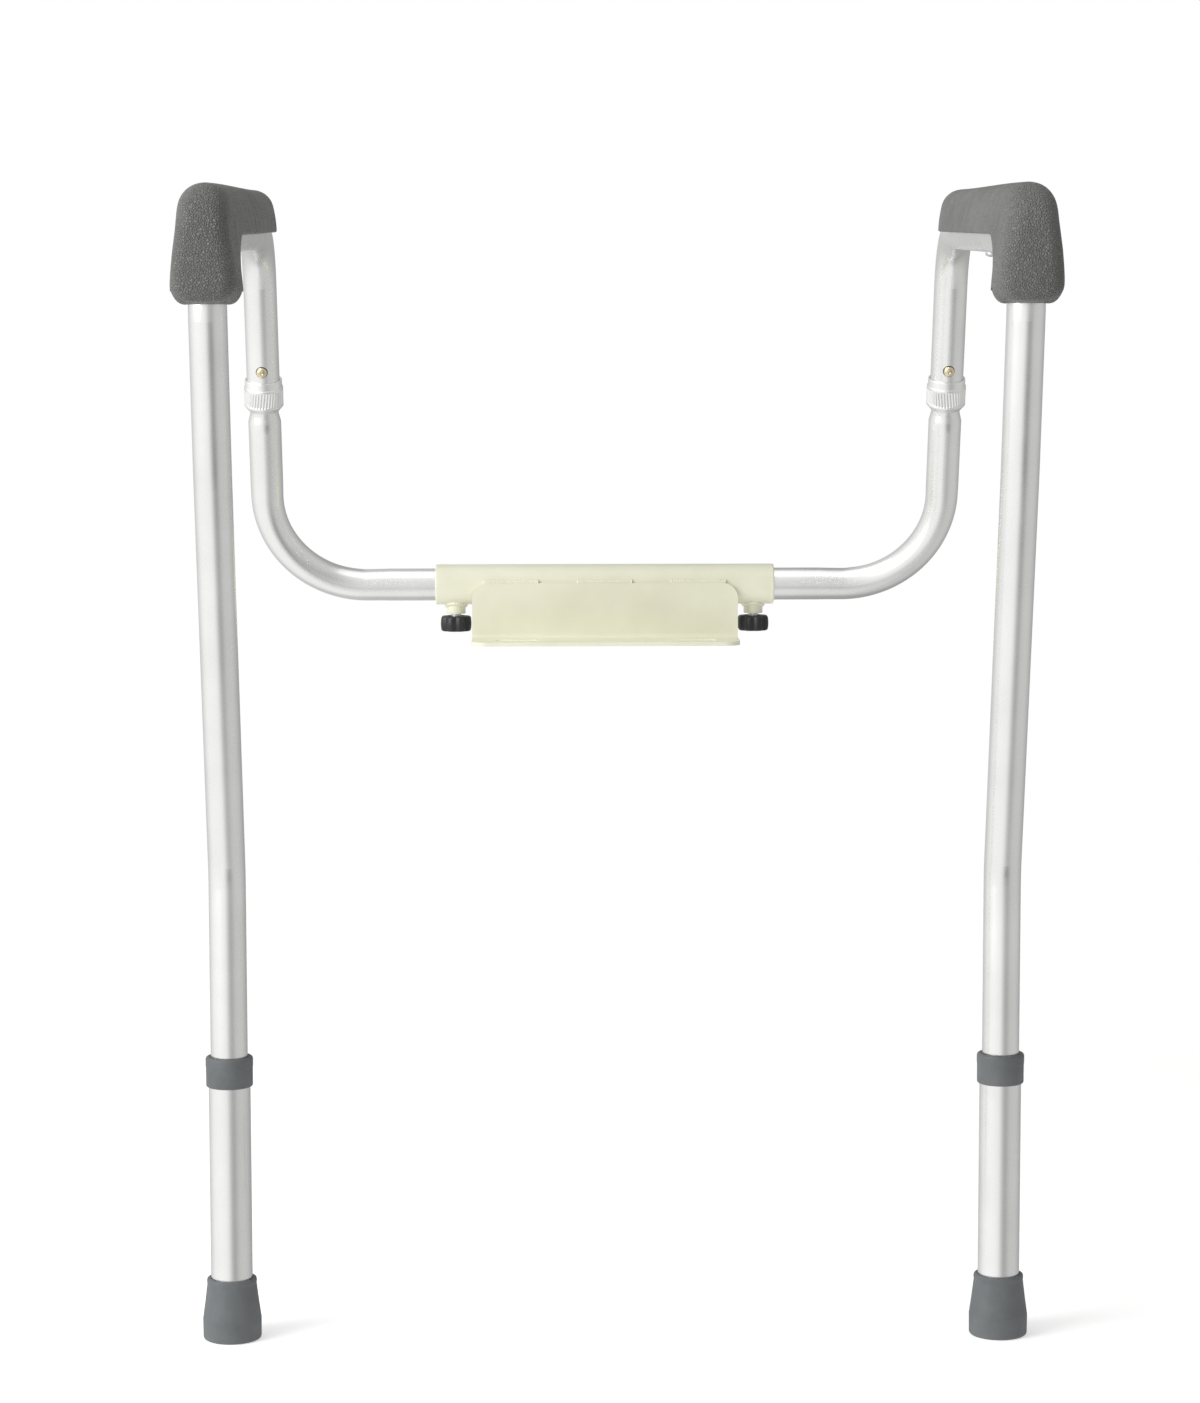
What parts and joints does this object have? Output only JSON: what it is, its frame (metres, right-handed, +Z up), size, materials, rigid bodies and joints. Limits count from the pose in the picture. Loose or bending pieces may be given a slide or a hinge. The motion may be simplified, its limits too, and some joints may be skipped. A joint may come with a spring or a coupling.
{
  "type": "toilet safety frame",
  "caption": "Bent aluminium toilet frame with padded arms, telescopic front legs on rubber feet, and a rear bracket that bolts under the toilet seat.",
  "frame": {"origin": "underside of the bracket plate, half-way between the two seat-bolt slots", "axes": "+X to the right of someone who faces the toilet, +Y to the back, +Z up. left_ and right_ are as seen by someone who faces the toilet"},
  "size_m": [0.578, 0.5767, 0.7947],
  "materials": {
    "aluminium": "satin anodised",
    "collar_aluminium": "knurled, satin anodised",
    "pad_foam": "moulded polyurethane foam skin, pebbled",
    "grey_rubber": "satin",
    "cream_steel": "powder coated",
    "cream_nylon": "moulded nylon",
    "nylon": "natural nylon",
    "black_plastic": "fine texture",
    "brass": "polished",
    "zinc_steel": "zinc plated",
    "spring_steel": "bright spring steel"
  },
  "bodies": {
    "bracket": {"bracket_plate": "cream_steel", "bracket_tube": "cream_steel", "left_socket_bush": "cream_nylon", "left_clamp_nut": "cream_steel", "right_socket_bush": "cream_nylon", "right_clamp_nut": "cream_steel"},
    "left_clamp_tip": {"left_clamp_tip": "brass"},
    "left_clamp_screw": {"left_clamp_screw": "zinc_steel", "left_clamp_knob": "black_plastic"},
    "left_rear": {"left_rear_tube": "aluminium", "left_rear_snap_spring": "spring_steel"},
    "left_rear_button": {"left_rear_snap_button": "brass"},
    "left_arm": {"left_arm_tube": "aluminium", "left_arm_pad": "pad_foam", "left_pad_insert": "zinc_steel", "left_pad_screws": "zinc_steel", "left_leg_snap_spring": "spring_steel"},
    "left_ferrule": {"left_collar_ferrule": "nylon"},
    "left_collar": {"left_lock_collar": "collar_aluminium"},
    "left_leg": {"left_leg_extension": "aluminium", "left_leg_ring": "grey_rubber", "left_foot": "grey_rubber", "left_foot_washer": "zinc_steel"},
    "left_leg_button": {"left_leg_snap_button": "brass"},
    "right_clamp_tip": {"right_clamp_tip": "brass"},
    "right_clamp_screw": {"right_clamp_screw": "zinc_steel", "right_clamp_knob": "black_plastic"},
    "right_rear": {"right_rear_tube": "aluminium", "right_rear_snap_spring": "spring_steel"},
    "right_rear_button": {"right_rear_snap_button": "brass"},
    "right_arm": {"right_arm_tube": "aluminium", "right_arm_pad": "pad_foam", "right_pad_insert": "zinc_steel", "right_pad_screws": "zinc_steel", "right_leg_snap_spring": "spring_steel"},
    "right_ferrule": {"right_collar_ferrule": "nylon"},
    "right_collar": {"right_lock_collar": "collar_aluminium"},
    "right_leg": {"right_leg_extension": "aluminium", "right_leg_ring": "grey_rubber", "right_foot": "grey_rubber", "right_foot_washer": "zinc_steel"},
    "right_leg_button": {"right_leg_snap_button": "brass"}
  },
  "joints": [
    {"name": "left_clamp_tip_slide", "type": "slide", "parent": "bracket", "child": "left_clamp_tip", "axis": [0, 0, -1], "range_m": [0, 0.0025]},
    {"name": "left_clamp_turn", "type": "hinge", "parent": "left_clamp_tip", "child": "left_clamp_screw", "pos_m": [-0.118, 0.042, 0], "axis": [0, 0, -1], "range_deg": [0, 720]},
    {"name": "left_width_slide", "type": "slide", "parent": "bracket", "child": "left_rear", "axis": [-1, 0, 0], "range_m": [-0.0254, 0.0254]},
    {"name": "left_arm_lift_off", "type": "slide", "parent": "left_rear", "child": "left_arm", "axis": [0, -0.309, 0.9511], "range_m": [0, 0.24]},
    {"name": "left_rear_button_press", "type": "slide", "parent": "left_rear", "child": "left_rear_button", "axis": [0, 0.9511, 0.309], "range_m": [0, 0.0049], "stiffness_N_per_m": 2500, "springref_m": -0.002, "deforming": ["left_rear_snap_spring"]},
    {"name": "left_ferrule_slide", "type": "slide", "parent": "left_arm", "child": "left_ferrule", "axis": [0, 0.309, -0.9511], "range_m": [0, 0.00187]},
    {"name": "left_collar_turn", "type": "hinge", "parent": "left_ferrule", "child": "left_collar", "pos_m": [-0.265, 0.042, 0.044], "axis": [0, 0.309, -0.9511], "range_deg": [0, 450]},
    {"name": "left_leg_slide", "type": "slide", "parent": "left_arm", "child": "left_leg", "axis": [0, 0, 1], "range_m": [0, 0.1143]},
    {"name": "left_leg_button_press", "type": "slide", "parent": "left_arm", "child": "left_leg_button", "axis": [0, -1, 0], "range_m": [0, 0.0049], "stiffness_N_per_m": 2500, "springref_m": -0.002, "deforming": ["left_leg_snap_spring"]},
    {"name": "right_clamp_tip_slide", "type": "slide", "parent": "bracket", "child": "right_clamp_tip", "axis": [0, 0, -1], "range_m": [0, 0.0025]},
    {"name": "right_clamp_turn", "type": "hinge", "parent": "right_clamp_tip", "child": "right_clamp_screw", "pos_m": [0.118, 0.042, 0], "axis": [0, 0, -1], "range_deg": [0, 720]},
    {"name": "right_width_slide", "type": "slide", "parent": "bracket", "child": "right_rear", "axis": [1, 0, 0], "range_m": [-0.0254, 0.0254]},
    {"name": "right_arm_lift_off", "type": "slide", "parent": "right_rear", "child": "right_arm", "axis": [0, -0.309, 0.9511], "range_m": [0, 0.24]},
    {"name": "right_rear_button_press", "type": "slide", "parent": "right_rear", "child": "right_rear_button", "axis": [0, 0.9511, 0.309], "range_m": [0, 0.0049], "stiffness_N_per_m": 2500, "springref_m": -0.002, "deforming": ["right_rear_snap_spring"]},
    {"name": "right_ferrule_slide", "type": "slide", "parent": "right_arm", "child": "right_ferrule", "axis": [0, 0.309, -0.9511], "range_m": [0, 0.00187]},
    {"name": "right_collar_turn", "type": "hinge", "parent": "right_ferrule", "child": "right_collar", "pos_m": [0.265, 0.042, 0.044], "axis": [0, 0.309, -0.9511], "range_deg": [0, 450]},
    {"name": "right_leg_slide", "type": "slide", "parent": "right_arm", "child": "right_leg", "axis": [0, 0, 1], "range_m": [0, 0.1143]},
    {"name": "right_leg_button_press", "type": "slide", "parent": "right_arm", "child": "right_leg_button", "axis": [0, -1, 0], "range_m": [0, 0.0049], "stiffness_N_per_m": 2500, "springref_m": -0.002, "deforming": ["right_leg_snap_spring"]}
  ],
  "couplings": [
    {"joint": "left_clamp_tip_slide", "follows": "left_clamp_turn", "m_per_rad": 0.00019894},
    {"joint": "left_ferrule_slide", "follows": "left_collar_turn", "m_per_rad": 0.00023873},
    {"joint": "right_clamp_tip_slide", "follows": "right_clamp_turn", "m_per_rad": 0.00019894},
    {"joint": "right_ferrule_slide", "follows": "right_collar_turn", "m_per_rad": 0.00023873}
  ]
}
